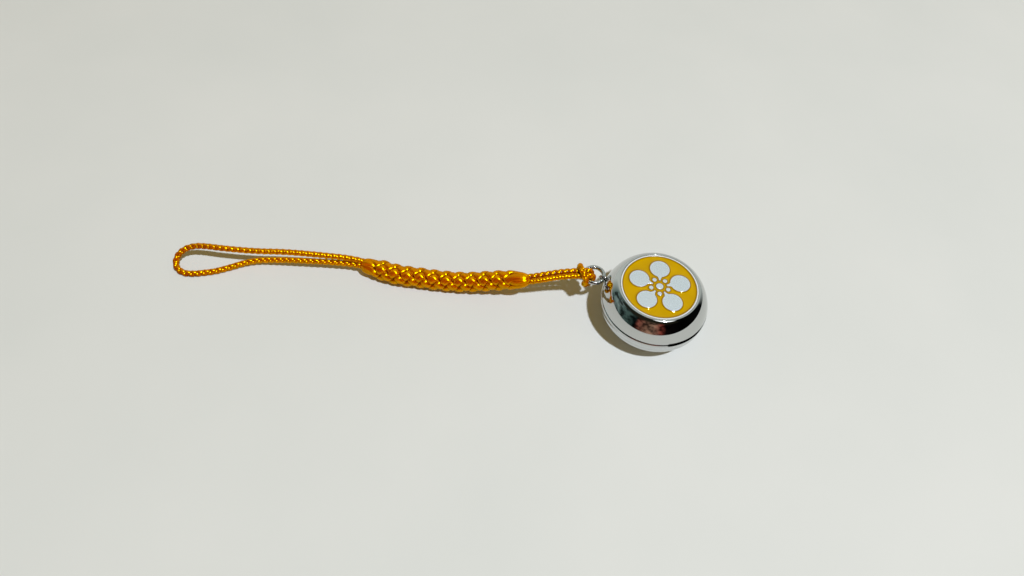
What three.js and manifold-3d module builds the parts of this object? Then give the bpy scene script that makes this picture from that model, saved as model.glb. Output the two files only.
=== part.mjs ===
// Bell charm on a braided strap: a flat round bell of two pressed half shells, with an enamelled
// plum blossom medal let into its face, a loose pellet inside and a sound slot in its seam.
// A jump ring hangs in a wire eye at the seam, and the strap's cord is hitched round that ring.
// Millimetres. The bell's axis is Z, the ring lies towards -X and the table is at Z = 0.
import * as THREE from "three";
import { mergeVertices } from "three/addons/utils/BufferGeometryUtils.js";
import Module from "manifold-3d";

const wasm = await Module();
wasm.setup();

// Driving sizes of the bell
const bellDiameter = 18.4;
const sheetThickness = 0.4;
const crownRadius = 14;
const knuckleRadius = 2.2;
const restingFlatRadius = 1.5;
const domeWallHeight = 0.5;
const lipHeight = 1;
const lipProud = 0.1;
const lipThickness = 0.3;
const lipRound = 0.12;
const lipTopRound = 0.28;
const skirtDepth = 0.9;
const skirtClearance = 0.05;
const seamGap = 0.06;
const faceHeight = 4.096;
const flankBulgeShare = 1.35;
const faceRimRadius = 6.78;

// Driving sizes of the sound slot
const slotHeight = 0.7;
const slotHalfAngleDegrees = 56;

// Driving sizes of the medal
const medalRadius = 6.55;
const medalClearance = 0.05;
const recessDepth = 0.55;
const medalRimWidth = 0.25;
const medalBaseThickness = 0.2;
const reliefHeight = 0.32;
const enamelThickness = 0.26;
const enamelGap = 0.03;
const petalCount = 5;

// The crest's sizes and places as shares of the enamel's radius
const petalRadiusShare = 0.267;
const petalCentreShare = 0.575;
const stemTipShare = 0.194;
const stemTipWidthShare = 0.048;
const stemRootWidthShare = 0.136;
const centreDotShare = 0.098;
const smallDotShare = 0.06;
const smallDotCentreShare = 0.238;

// Driving sizes of the pellet
const pelletRadius = 2;
const pelletGap = 0.1;

// Driving sizes of the wire eye
const eyeWire = 0.36;
const eyeLoopRadius = 0.66;
const eyeOpenDegrees = 58;
const eyeStandOff = 0.3;
const eyeAboveSeam = 0.256;
const eyeLegSpacing = 0.44;
const eyeLegSplay = 0.8;
const eyeLegClearance = 0.12;
const eyeNotchClearance = 0.1;

// Driving sizes of the jump ring
const ringWire = 0.75;
const ringRadius = 1.7;
const ringSlit = 0.12;
const ringSlitDegrees = 62;

// Driving sizes of the strap
const cordDiameter = 1;
const cordLegSpacing = 1.06;
const hitchClearance = 0.06;
const hitchDegrees = 36;
const headingDegrees = 33;
const braidRadius = 1.86;

// Facets and overrun
const roundFacets = 64;
const flankSteps = 9;
const arcSteps = 4;
const wireSides = 8;
const eyeLoopSteps = 8;
const overrun = 0.5;

// Places that follow from the sizes
const bellRadius = bellDiameter / 2;
const domeRadius = bellRadius - lipProud;
const flatSagitta = crownRadius - Math.sqrt(crownRadius ** 2 - restingFlatRadius ** 2);
const crownCentreHeight = crownRadius - flatSagitta;
const knuckleAngle = Math.asin((domeRadius - knuckleRadius) / (crownRadius - knuckleRadius));
const knuckleHeight = crownCentreHeight - (crownRadius - knuckleRadius) * Math.cos(knuckleAngle);
const lipBottom = knuckleHeight + domeWallHeight;
const seamHeight = lipBottom + lipHeight;
const widestHeight = lipBottom + lipHeight / 2;
const lipInnerRadius = bellRadius - lipThickness;
const skirtRadius = lipInnerRadius - skirtClearance;
const skirtBottom = seamHeight - skirtDepth;
const ledgeHeight = skirtBottom - skirtClearance;
const faceTop = seamHeight + faceHeight;
const recessRadius = medalRadius + medalClearance;
const recessFloor = faceTop - recessDepth;
const medalBottom = recessFloor + medalClearance;
const medalBaseTop = medalBottom + medalBaseThickness;
const enamelRadius = medalRadius - medalRimWidth;
const petalRadius = petalRadiusShare * enamelRadius;
const petalCentreRadius = petalCentreShare * enamelRadius;
const stemTipRadius = stemTipShare * enamelRadius;
const stemTipWidth = stemTipWidthShare * enamelRadius;
const stemRootWidth = stemRootWidthShare * enamelRadius;
const centreDotRadius = centreDotShare * enamelRadius;
const smallDotRadius = smallDotShare * enamelRadius;
const smallDotCentreRadius = smallDotCentreShare * enamelRadius;
const eyeHeight = seamHeight + eyeAboveSeam;
const eyeX = -(bellRadius + eyeStandOff);
const ringCentreX = eyeX - ringRadius;

// A closed geometry as a manifold-3d solid, with its shared vertices merged
function solidOf(geometry) {
  const bare = geometry.index ? geometry.toNonIndexed() : geometry.clone();
  bare.deleteAttribute("normal");
  bare.deleteAttribute("uv");
  const merged = mergeVertices(bare);
  return new wasm.Manifold(
    new wasm.Mesh({
      numProp: 3,
      vertProperties: merged.attributes.position.array,
      triVerts: new Uint32Array(merged.index.array),
    }),
  );
}

// A manifold-3d solid as a three.js geometry
function geometryOf(solid) {
  const mesh = solid.getMesh();
  const geometry = new THREE.BufferGeometry();
  geometry.setAttribute("position", new THREE.BufferAttribute(mesh.vertProperties, 3));
  geometry.setIndex(new THREE.BufferAttribute(mesh.triVerts, 1));
  geometry.computeVertexNormals();
  return geometry;
}

// A profile of [radius, height] pairs turned round the Z axis
function turned(profile, facets = roundFacets) {
  const points = profile.map(([radius, height]) => new THREE.Vector2(radius, height));
  return new THREE.LatheGeometry(points, facets).rotateX(Math.PI / 2);
}

// An arc of [radius, height] pairs round a centre, angles in radians from +radius towards +height
function arc(centreRadius, centreHeight, radius, from, to, steps = arcSteps) {
  const points = [];
  for (let i = 0; i <= steps; i++) {
    const angle = from + ((to - from) * i) / steps;
    points.push([centreRadius + radius * Math.cos(angle), centreHeight + radius * Math.sin(angle)]);
  }
  return points;
}

// A flat outline raised from one height to another
function raised(shape, bottom, top, curveSegments) {
  const settings = { depth: top - bottom, bevelEnabled: false, curveSegments };
  return new THREE.ExtrudeGeometry(shape, settings).translate(0, 0, bottom);
}

// A round section with flat sides
function roundSection(radius, sides = wireSides) {
  const corners = [];
  for (let i = 0; i < sides; i++) {
    const angle = (2 * Math.PI * i) / sides;
    corners.push(new THREE.Vector2(radius * Math.cos(angle), radius * Math.sin(angle)));
  }
  return new THREE.Shape(corners);
}

// A round wire or cord along a curve, with closed ends
function tube(curve, radius, steps, sides = wireSides) {
  return new THREE.ExtrudeGeometry(roundSection(radius, sides), {
    steps,
    extrudePath: curve,
    bevelEnabled: false,
  });
}

// A smooth curve through hand-set points
function route(points) {
  return new THREE.CatmullRomCurve3(
    points.map((p) => new THREE.Vector3(...p)),
    false,
    "centripetal",
  );
}

// Pressed back shell: a dished crown, a tight knuckle and a thick lip that takes the face shell's skirt
function backShell() {
  const innerDome = domeRadius - sheetThickness;
  const straight = Math.PI / 2;
  const flatAngle = Math.asin(restingFlatRadius / crownRadius);
  const outerCrown = arc(0, crownCentreHeight, crownRadius, flatAngle - straight, knuckleAngle - straight);
  const outerKnuckle = arc(domeRadius - knuckleRadius, knuckleHeight, knuckleRadius, knuckleAngle - straight, 0, 6);
  const innerKnuckle = arc(
    domeRadius - knuckleRadius,
    knuckleHeight,
    knuckleRadius - sheetThickness,
    0,
    knuckleAngle - straight,
  );
  const innerCrown = arc(0, crownCentreHeight, crownRadius - sheetThickness, knuckleAngle - straight, -straight, 3);
  return turned([
    [0, 0],
    ...outerCrown,
    ...outerKnuckle.slice(1),
    [domeRadius, lipBottom],
    ...arc(bellRadius - lipRound, lipBottom + lipRound, lipRound, -straight, 0, 2),
    ...arc(bellRadius - lipTopRound, seamHeight - lipTopRound, lipTopRound, 0, straight, 4),
    [lipInnerRadius, seamHeight],
    [lipInnerRadius, ledgeHeight],
    [innerDome, ledgeHeight],
    ...innerKnuckle,
    ...innerCrown.slice(1, -1),
    [0, crownCentreHeight - crownRadius + sheetThickness],
  ]);
}

// Flank of the face shell, from its shoulder over the lip to its rim: a power curve that would meet the
// lip at its widest height. An inset moves each point into the sheet, square to the curve.
function flank(inset) {
  const height = faceTop - widestHeight;
  const width = bellRadius - faceRimRadius;
  const power = flankBulgeShare;
  const first = Math.asin(((seamHeight + seamGap - widestHeight) / height) ** (1 / power));
  const points = [];
  for (let i = 0; i <= flankSteps; i++) {
    const angle = first + ((Math.PI / 2 - first) * i) / flankSteps;
    const cosine = Math.max(Math.cos(angle), 0);
    const sine = Math.sin(angle);
    const outward = height * sine ** (power - 1) * cosine;
    const upward = width * cosine ** (power - 1) * sine;
    const length = Math.hypot(outward, upward) || 1;
    points.push([
      faceRimRadius + width * cosine ** power - (inset * outward) / length,
      widestHeight + height * sine ** power - (inset * upward) / length,
    ]);
  }
  return points;
}

// Outer radius of the flank at a height
function flankRadiusAt(height) {
  const upShare = (height - widestHeight) / (faceTop - widestHeight);
  const acrossShare = (1 - upShare ** (2 / flankBulgeShare)) ** (flankBulgeShare / 2);
  return faceRimRadius + (bellRadius - faceRimRadius) * acrossShare;
}

// Pressed face shell: a skirt inside the lip, a leaning flank and a recessed seat for the medal
function faceShell() {
  const underside = recessFloor - sheetThickness;
  const inner = flank(sheetThickness);
  const above = inner.findIndex(([, height]) => height > underside);
  const [lowRadius, low] = inner[above - 1];
  const [highRadius, high] = inner[above];
  const cornerRadius = lowRadius + ((highRadius - lowRadius) * (underside - low)) / (high - low);
  return turned([
    [skirtRadius - sheetThickness, skirtBottom],
    [skirtRadius, skirtBottom],
    [skirtRadius, seamHeight + seamGap],
    ...flank(0),
    [recessRadius, faceTop],
    [recessRadius, recessFloor],
    [0, recessFloor],
    [0, underside],
    [cornerRadius, underside],
    ...inner.slice(1, above).reverse(),
    [skirtRadius - sheetThickness, seamHeight + seamGap],
    [skirtRadius - sheetThickness, skirtBottom],
  ]);
}

// Space of the sound slot: a curved bar through both walls at the seam, round at its two ends
function slotSpace() {
  const half = THREE.MathUtils.degToRad(slotHalfAngleDegrees);
  const inside = skirtRadius - sheetThickness - overrun;
  const outside = bellRadius + overrun;
  const bottom = seamHeight - slotHeight / 2;
  const sector = new THREE.Shape();
  sector.absarc(0, 0, outside, -half, half, false);
  sector.absarc(0, 0, inside, half, -half, true);
  let space = solidOf(raised(sector, bottom, bottom + slotHeight, 28));
  for (const side of [-1, 1]) {
    const end = new THREE.CylinderGeometry(slotHeight / 2, slotHeight / 2, outside - inside, 16);
    end.rotateZ(Math.PI / 2);
    end.translate((inside + outside) / 2, 0, seamHeight);
    end.rotateZ(side * half);
    space = space.add(solidOf(end));
  }
  return space;
}

// Notch through both walls at the seam, as high as the open end of the wire eye that stands in it
function eyeNotch() {
  const width = eyeWire + 2 * eyeNotchClearance;
  const open = THREE.MathUtils.degToRad(eyeOpenDegrees);
  const height = 2 * (eyeLoopRadius * Math.sin(open) + eyeWire / 2 + eyeNotchClearance);
  const inside = skirtRadius - sheetThickness - overrun;
  const depth = bellRadius + overrun - inside;
  const notch = new THREE.BoxGeometry(depth, width, height);
  return solidOf(notch.translate(-(inside + depth / 2), 0, eyeHeight));
}

// One petal of the crest, pointing along +X: a round lobe with a tapered stem towards the middle
function petalShape(grow) {
  const radius = petalRadius + grow;
  const rootHalf = stemRootWidth / 2 + grow;
  const tipHalf = stemTipWidth / 2 + grow;
  const tip = stemTipRadius - grow;
  const meet = Math.PI - Math.asin(rootHalf / radius);
  const root = petalCentreRadius + radius * Math.cos(meet);
  const waist = (root + tip) / 2;
  const shape = new THREE.Shape();
  shape.moveTo(tip, tipHalf);
  shape.lineTo(tip, -tipHalf);
  shape.quadraticCurveTo(waist, -tipHalf, root, -rootHalf);
  shape.absarc(petalCentreRadius, 0, radius, -meet, meet, false);
  shape.quadraticCurveTo(waist, tipHalf, tip, tipHalf);
  return shape;
}

// The raised crest: petals, the dots between them and the dot in the middle, one pointing at the ring
function crestSolids(grow, bottom, top) {
  const solids = [];
  for (let i = 0; i < petalCount; i++) {
    const turn = Math.PI + (2 * Math.PI * i) / petalCount;
    const petal = raised(petalShape(grow), bottom, top, 11).rotateZ(turn);
    solids.push(solidOf(petal));
    const dot = new THREE.CylinderGeometry(smallDotRadius + grow, smallDotRadius + grow, top - bottom, 12);
    dot.rotateX(Math.PI / 2).translate(smallDotCentreRadius, 0, (bottom + top) / 2);
    solids.push(solidOf(dot.rotateZ(turn + Math.PI / petalCount)));
  }
  const middle = new THREE.CylinderGeometry(centreDotRadius + grow, centreDotRadius + grow, top - bottom, 16);
  solids.push(solidOf(middle.rotateX(Math.PI / 2).translate(0, 0, (bottom + top) / 2)));
  return solids;
}

// Die-struck medal: a thin base with a rim and the raised crest
function crestPlate() {
  const top = medalBaseTop + reliefHeight;
  let plate = solidOf(
    turned([
      [0, medalBottom],
      [medalRadius, medalBottom],
      [medalRadius, top],
      [enamelRadius, top],
      [enamelRadius, medalBaseTop],
      [0, medalBaseTop],
    ]),
  );
  for (const solid of crestSolids(0, medalBaseTop - medalBaseThickness / 2, top)) {
    plate = plate.add(solid);
  }
  return geometryOf(plate);
}

// Enamel poured between the rim and the crest
function enamelField() {
  const bottom = medalBaseTop + enamelGap;
  const top = bottom + enamelThickness;
  const radius = enamelRadius - enamelGap;
  let field = solidOf(
    turned([
      [0, bottom],
      [radius, bottom],
      [radius, top],
      [0, top],
    ]),
  );
  for (const solid of crestSolids(enamelGap, bottom - overrun, top + overrun)) {
    field = field.subtract(solid);
  }
  return geometryOf(field);
}

// Wire eye: one wire folded into a loop outside the seam, its two legs splayed inside the shells
function hangerEye() {
  const half = eyeLegSpacing / 2;
  const endHeight = eyeHeight + half + eyeLegSplay;
  const innerWallRadius = Math.min(flankRadiusAt(endHeight + eyeWire), skirtRadius) - sheetThickness;
  const endX = eyeWire / 2 + eyeLegClearance - innerWallRadius;
  const legX = -(skirtRadius + sheetThickness / 2);
  const bendX = (legX + endX) / 2;
  const neckX = (legX + eyeX + eyeLoopRadius) / 2;
  const upper = [
    [endX, 0, endHeight],
    [(bendX + endX) / 2, 0, eyeHeight + half + eyeLegSplay / 4],
    [bendX, 0, eyeHeight + half],
    [neckX, 0, eyeHeight + half],
  ];
  const loop = [];
  const open = THREE.MathUtils.degToRad(eyeOpenDegrees);
  for (let i = 0; i <= eyeLoopSteps; i++) {
    const angle = open + (2 * (Math.PI - open) * i) / eyeLoopSteps;
    loop.push([eyeX + eyeLoopRadius * Math.cos(angle), 0, eyeHeight + eyeLoopRadius * Math.sin(angle)]);
  }
  const lower = upper.map(([x, y, z]) => [x, y, 2 * eyeHeight - z]).reverse();
  return tube(route([...upper, ...loop, ...lower]), eyeWire / 2, 34);
}

// A circle round the Z axis, left open by a slit
class OpenCircle extends THREE.Curve {
  constructor(radius, slitWidth, slitAngle) {
    super();
    this.radius = radius;
    this.start = slitAngle + slitWidth / radius / 2;
    this.sweep = 2 * Math.PI - slitWidth / radius;
  }

  getPoint(share) {
    const angle = this.start + this.sweep * share;
    return new THREE.Vector3(this.radius * Math.cos(angle), this.radius * Math.sin(angle), 0);
  }
}

// Where the cord is hitched on the jump ring: a frame whose first axis points along the strap
const hitchAngle = THREE.MathUtils.degToRad(hitchDegrees);
const heading = THREE.MathUtils.degToRad(headingDegrees);
const hitchOrigin = new THREE.Vector3(
  ringCentreX - ringRadius * Math.cos(hitchAngle),
  -ringRadius * Math.sin(hitchAngle),
  eyeHeight,
);

function fromHitch([along, across, up]) {
  return [
    hitchOrigin.x - along * Math.cos(heading) + across * Math.sin(heading),
    hitchOrigin.y - along * Math.sin(heading) - across * Math.cos(heading),
    hitchOrigin.z + up,
  ];
}

// The hitched cord, in the hitch's frame: in over the ring wire, back under it, out into an ear
// and over both standing legs to the middle of the crossing bar. One list for each leg.
const farHitchPoints = [
  [3.9, -0.96, 0.58],
  [2.8, -0.84, 0.73],
  [1.8, -0.74, 0.82],
  [0.9, -0.62, 0.87],
  [0, -0.55, 0.9],
  [-0.75, -0.62, 0.7],
  [-1.28, -0.7, 0.15],
  [-1.15, -0.66, -0.55],
  [-0.55, -0.66, -0.98],
  [0.2, -0.95, -0.95],
  [0.65, -1.4, -0.5],
  [0.68, -1.72, 0.1],
  [0.62, -1.68, 0.65],
  [0.72, -1.4, 1.25],
  [0.82, -0.75, 1.78],
  [0.77, -0.2, 1.93],
];
const nearHitchPoints = [
  [3.9, 0.1, 0.58],
  [2.8, 0.22, 0.73],
  [1.8, 0.33, 0.82],
  [0.9, 0.45, 0.87],
  [0.1, 0.52, 0.9],
  [-0.65, 0.5, 0.76],
  [-1.3, 0.36, 0.3],
  [-1.45, 0.3, -0.3],
  [-1.05, 0.45, -0.85],
  [-0.35, 0.95, -0.98],
  [0.1, 1.15, -0.78],
  [0.45, 1.5, 0.05],
  [0.3, 1.72, 0.5],
  [0.25, 1.62, 0.95],
  [0.38, 1.48, 1.3],
  [0.54, 0.98, 1.72],
  [0.7, 0.35, 1.9],
  [0.77, -0.2, 1.93],
];

// Standing legs from the hitch to the braid: the line midway between them
const legPoints = [
  [-16.5, -2.98, 6.6],
  [-18, -3.8, 6.25],
  [-19.5, -4.64, 5.85],
  [-20.9, -5.3, 5.4],
];

// The braid's middle line, from its bell end to its loop end
const braidPoints = [
  [-21.1, -5.4, 5.3],
  [-22.72, -5.95, 4.7],
  [-24.42, -6.3, 4.1],
  [-26.52, -6.99, 3.45],
  [-28.76, -7.83, 2.85],
  [-31.06, -8.72, 2.3],
  [-33.17, -9.52, 2.02],
  [-35.57, -10.37, 1.92],
  [-37.78, -11.11, 1.9],
  [-39.98, -11.78, 1.9],
  [-42.28, -12.55, 1.93],
  [-44.22, -13.02, 1.97],
  [-46.2, -13.3, 2.02],
  [-48.1, -13.6, 2.1],
  [-50, -13.9, 2.2],
];

// The thin cord's loop, from the braid out along its raised leg, round, and back along the table
const loopPoints = [
  [-50.37, -13.55, 2.6],
  [-51.92, -13.98, 2.75],
  [-53.41, -14.55, 2.95],
  [-55.41, -15.44, 3.2],
  [-58.13, -16.61, 3.45],
  [-61.05, -17.87, 3.65],
  [-63.74, -19.08, 3.75],
  [-66.67, -20.48, 3.8],
  [-69.89, -21.79, 3.8],
  [-73.26, -22.98, 3.75],
  [-75.86, -23.75, 3.6],
  [-77.7, -24.4, 3.3],
  [-79.1, -25.3, 2.8],
  [-79.9, -26.3, 2.15],
  [-80.1, -27.2, 1.5],
  [-79.74, -28.07, 1],
  [-78.94, -28.57, 0.7],
  [-77.64, -28.67, 0.55],
  [-76.25, -28.17, 0.54],
  [-74.84, -27.28, 0.54],
  [-73.12, -26, 0.55],
  [-71.23, -24.16, 0.64],
  [-69.34, -22.27, 0.85],
  [-67.1, -20.78, 1.2],
  [-64.11, -19.5, 1.6],
  [-61.35, -18.38, 1.85],
  [-58.31, -17.13, 1.95],
  [-55.55, -15.96, 1.95],
  [-53.39, -15.09, 1.9],
  [-51.95, -14.55, 1.85],
  [-50.56, -14.18, 1.85],
];

// The hitch as one solid, with a clear way for the ring's wire
function ringHitch() {
  const steps = 26;
  const far = solidOf(tube(route(farHitchPoints.map(fromHitch)), cordDiameter / 2, steps));
  const near = solidOf(tube(route(nearHitchPoints.map(fromHitch)), cordDiameter / 2, steps));
  const way = new THREE.TorusGeometry(ringRadius, ringWire / 2 + hitchClearance, 10, 40);
  return geometryOf(far.add(near).subtract(solidOf(way.translate(ringCentreX, 0, eyeHeight))));
}

// One standing leg, beside the line midway between the two
function cordLeg(side) {
  const first = new THREE.Vector3(...legPoints[0]);
  const last = new THREE.Vector3(...legPoints.at(-1));
  const aside = last.sub(first).cross(new THREE.Vector3(0, 0, 1)).normalize();
  const shift = (side * cordLegSpacing) / 2;
  const points = legPoints.map(([x, y, z]) => [x - aside.x * shift, y - aside.y * shift, z]);
  return tube(route(points), cordDiameter / 2, 4);
}

// Shares of the braid's length, and its radius there as shares of its middle radius
const braidRadiusShares = [
  [0, 0.62],
  [0.04, 0.8],
  [0.1, 0.93],
  [0.25, 0.98],
  [0.75, 1],
  [0.9, 1.04],
  [0.94, 0.96],
  [0.97, 0.78],
  [1, 0.56],
];

// The braid's radius at a share of its length
function braidRadiusAt(share) {
  const next = Math.max(1, braidRadiusShares.findIndex(([at]) => at >= share));
  const [fromAt, fromSize] = braidRadiusShares[next - 1];
  const [toAt, toSize] = braidRadiusShares[next];
  return braidRadius * (fromSize + ((toSize - fromSize) * (share - fromAt)) / (toAt - fromAt));
}

// The braid: a round body that swells where its strands start and end, and narrows to the two cords
function braid() {
  const curve = route(braidPoints);
  const steps = 28;
  const sides = 12;
  const { normals, binormals } = curve.computeFrenetFrames(steps, false);
  const positions = [];
  const indices = [];
  for (let i = 0; i <= steps; i++) {
    const centre = curve.getPointAt(i / steps);
    const radius = braidRadiusAt(i / steps);
    for (let j = 0; j < sides; j++) {
      const angle = (2 * Math.PI * j) / sides;
      const point = centre.clone();
      point.addScaledVector(normals[i], radius * Math.cos(angle));
      point.addScaledVector(binormals[i], radius * Math.sin(angle));
      positions.push(...point.toArray());
      if (i === steps) continue;
      const here = i * sides + j;
      const beside = i * sides + ((j + 1) % sides);
      indices.push(here, beside, here + sides, beside, beside + sides, here + sides);
    }
  }
  const last = steps * sides;
  for (let j = 1; j < sides - 1; j++) {
    indices.push(0, j + 1, j, last, last + j, last + j + 1);
  }
  const geometry = new THREE.BufferGeometry();
  geometry.setAttribute("position", new THREE.Float32BufferAttribute(positions, 3));
  geometry.setIndex(indices);
  geometry.computeVertexNormals();
  return geometry;
}

// Finishes
const chrome = { color: 0xd9dcdf, roughness: 0.06, metalness: 1 };
const mattSilver = { color: 0xd2d6da, roughness: 0.5, metalness: 0.9 };
const yellowEnamel = { color: 0xe0a800, roughness: 0.18, metalness: 0 };
const steel = { color: 0x8c9094, roughness: 0.3, metalness: 1 };
const silkCord = { color: 0xd98a0a, roughness: 0.55, metalness: 0 };

function piece(name, geometry, finish) {
  const mesh = new THREE.Mesh(geometry, new THREE.MeshStandardMaterial(finish));
  mesh.name = name;
  return mesh;
}

// Bell, with what sits in it
const slot = slotSpace();
const notch = eyeNotch();
const bell = new THREE.Group();
bell.add(piece("back_shell", geometryOf(solidOf(backShell()).subtract(slot).subtract(notch)), chrome));
bell.add(piece("face_shell", geometryOf(solidOf(faceShell()).subtract(slot).subtract(notch)), chrome));
bell.add(piece("crest_plate", crestPlate(), mattSilver));
bell.add(piece("enamel_field", enamelField(), yellowEnamel));
bell.add(piece("hanger_eye", hangerEye(), chrome));

const pellet = piece("pellet", new THREE.SphereGeometry(pelletRadius, 20, 14), steel);
pellet.position.z = crownCentreHeight - crownRadius + sheetThickness + pelletGap + pelletRadius;

// Jump ring, hanging in the eye
const ringCurve = new OpenCircle(ringRadius, ringSlit, THREE.MathUtils.degToRad(ringSlitDegrees));
const jumpRing = piece("jump_ring", tube(ringCurve, ringWire / 2, 40), chrome);
jumpRing.position.set(ringCentreX, 0, eyeHeight);

// Strap
const strap = new THREE.Group();
strap.add(piece("ring_hitch", ringHitch(), silkCord));
strap.add(piece("cord_leg_far", cordLeg(-1), silkCord));
strap.add(piece("cord_leg_near", cordLeg(1), silkCord));
strap.add(piece("braid", braid(), silkCord));
strap.add(piece("strap_loop", tube(route(loopPoints), cordDiameter / 2, 36), silkCord));

const charm = new THREE.Group();
charm.add(bell, pellet, jumpRing, strap);

export default charm;
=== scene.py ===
# %% [markdown]
# # A bell charm on a braided silk strap
# The real object is a flat round bell, pressed from two brass half shells and chromed. An enamelled
# medal with a plum blossom sits in its face, a wire eye in its seam holds a jump ring, and a golden
# silk strap is hitched to that ring. The frame that is loaded here holds every piece at its real
# size, as plain faceted solids. This lesson gives each piece its fine surface and its finish.

# %% Load the frame and keep its box
import math

import bmesh
import bpy
import numpy as np
from mathutils import Matrix, Vector, kdtree
from mathutils.geometry import delaunay_2d_cdt


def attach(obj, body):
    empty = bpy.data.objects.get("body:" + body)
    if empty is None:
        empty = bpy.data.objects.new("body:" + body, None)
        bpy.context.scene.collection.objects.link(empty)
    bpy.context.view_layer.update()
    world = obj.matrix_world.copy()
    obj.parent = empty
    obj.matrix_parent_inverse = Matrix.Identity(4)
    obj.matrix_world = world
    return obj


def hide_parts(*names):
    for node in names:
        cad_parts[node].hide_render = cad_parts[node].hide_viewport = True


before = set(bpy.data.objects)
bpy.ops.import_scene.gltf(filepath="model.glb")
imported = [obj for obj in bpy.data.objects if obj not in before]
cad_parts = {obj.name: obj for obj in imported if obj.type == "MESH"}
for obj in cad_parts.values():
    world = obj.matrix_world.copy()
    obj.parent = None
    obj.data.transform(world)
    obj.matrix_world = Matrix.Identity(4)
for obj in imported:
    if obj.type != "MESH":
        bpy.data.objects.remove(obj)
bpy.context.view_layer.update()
MM = 0.001
print("nodes in the frame:", ", ".join(sorted(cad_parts)))

# %% [markdown]
# ## The camera
# The photograph looks as if a phone took it from above, with a lens like a 26 mm lens on full frame
# film. A camera can be aimed with a Track To constraint, but this one also leans to one side, so its
# three axes are worked out from a compass angle, a downward tilt and a roll.

# %% Camera
LENS_MM = 26.0
CAMERA_PLACE = Vector((1.75, -76.73, 110.2)) * MM
CAMERA_TURN, CAMERA_TILT, CAMERA_ROLL = (math.radians(a) for a in (20.0, 55.3, 5.6))
BELL_MIDDLE = Vector((0, 0, 5)) * MM

ahead = Vector((-math.sin(CAMERA_TURN), math.cos(CAMERA_TURN), 0)) * math.cos(CAMERA_TILT)
ahead.z = -math.sin(CAMERA_TILT)
level = Vector((math.cos(CAMERA_TURN), math.sin(CAMERA_TURN), 0))
above = level.cross(ahead)
right = level * math.cos(CAMERA_ROLL) + above * math.sin(CAMERA_ROLL)
upward = above * math.cos(CAMERA_ROLL) - level * math.sin(CAMERA_ROLL)

scene = bpy.context.scene
camera_data = bpy.data.cameras.new("camera")
camera_data.lens = LENS_MM
camera_data.clip_start = 1 * MM
camera = bpy.data.objects.new("camera", camera_data)
camera_axes = Matrix((right, upward, -ahead)).transposed()
camera.matrix_world = Matrix.Translation(CAMERA_PLACE) @ camera_axes.to_4x4()
scene.collection.objects.link(camera)
scene.camera = camera
scene.view_settings.view_transform = "Standard"
print("camera distance from the bell:", round((CAMERA_PLACE - BELL_MIDDLE).length, 4))

# %% [markdown]
# ## Helpers
# Every piece ends in the same few steps: a mesh from its corners and faces, a material, a body to
# ride on and the node that it stands for. Colours are written as on a screen, in hex, and one
# function turns them into the linear values that light is worked out with. Another adds a node to a
# material's tree, with its settings and its links, so that a material reads as a short list. A Mix
# node has sockets for numbers, vectors and colours under the same names, so the ones for colours are
# found by their places in its list, which get names here.


# %% Helpers for colours, nodes and pieces
MIX_SHARE, MIX_FROM, MIX_TO, MIXED = 0, 6, 7, 2
SHARP_DEGREES = 40


def linear(hex_code):
    """A colour such as "#d98207" as linear red, green, blue and alpha."""
    values = [int(hex_code[i : i + 2], 16) / 255 for i in (1, 3, 5)]
    return (*(v / 12.92 if v <= 0.04045 else ((v + 0.055) / 1.055) ** 2.4 for v in values), 1.0)


def link(node, links):
    """Link a node's sockets to outputs, or to the first output of the nodes that are given."""
    for name, source in links.items():
        output = source.outputs[0] if isinstance(source, bpy.types.Node) else source
        node.id_data.links.new(output, node.inputs[name])


def add(tree, kind, settings=None, links=None):
    """Add a node, set its properties, sockets or colour stops, and link its sockets."""
    node = tree.nodes.new(kind)
    for name, value in (settings or {}).items():
        if name == "stops":
            for position, _ in value[1:-1]:
                node.color_ramp.elements.new(position)
            for stop, (position, colour) in zip(node.color_ramp.elements, value):
                stop.position, stop.color = position, linear(colour)
        elif isinstance(name, str) and hasattr(node, name):
            setattr(node, name, value)
        else:
            node.inputs[name].default_value = value
    link(node, links or {})
    return node


def new_material(name, **shader):
    """A material, its tree and its shader, whose sockets are set by keyword with _ for a space."""
    material = bpy.data.materials.new(name)
    material.use_nodes = True
    bsdf = material.node_tree.nodes["Principled BSDF"]
    for socket, value in shader.items():
        bsdf.inputs[socket.replace("_", " ")].default_value = value
    print("material:", name)
    return material, material.node_tree, bsdf


def plain_object(name, vertices, faces):
    """A mesh object, with all its faces pointing out."""
    mesh = bpy.data.meshes.new(name)
    mesh.from_pydata([tuple(v) for v in vertices], [], [tuple(f) for f in faces])
    work = bmesh.new()
    work.from_mesh(mesh)
    bmesh.ops.recalc_face_normals(work, faces=work.faces)
    work.to_mesh(mesh)
    work.free()
    piece = bpy.data.objects.new(name, mesh)
    scene.collection.objects.link(piece)
    return piece


def make_piece(name, solid, material, body, replaces):
    """A smooth shaded piece from vertices, faces and perhaps flat places, which stands for nodes."""
    vertices, faces, *flat_places = solid
    piece = plain_object(name, vertices, faces)
    mesh = piece.data
    mesh.shade_smooth()
    mesh.set_sharp_from_angle(angle=math.radians(SHARP_DEGREES))
    mesh.materials.append(material)
    for places in flat_places:
        corners = np.empty(len(mesh.loops), dtype=np.int32)
        mesh.loops.foreach_get("vertex_index", corners)
        layer = mesh.uv_layers.new(name="flat_place")
        layer.uv.foreach_set("vector", np.asarray(places, dtype=np.float32)[corners].ravel())
    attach(piece, body)
    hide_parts(*replaces)
    print(f"{name}: {len(mesh.vertices)} vertices, {len(mesh.polygons)} faces")
    return piece


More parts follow.
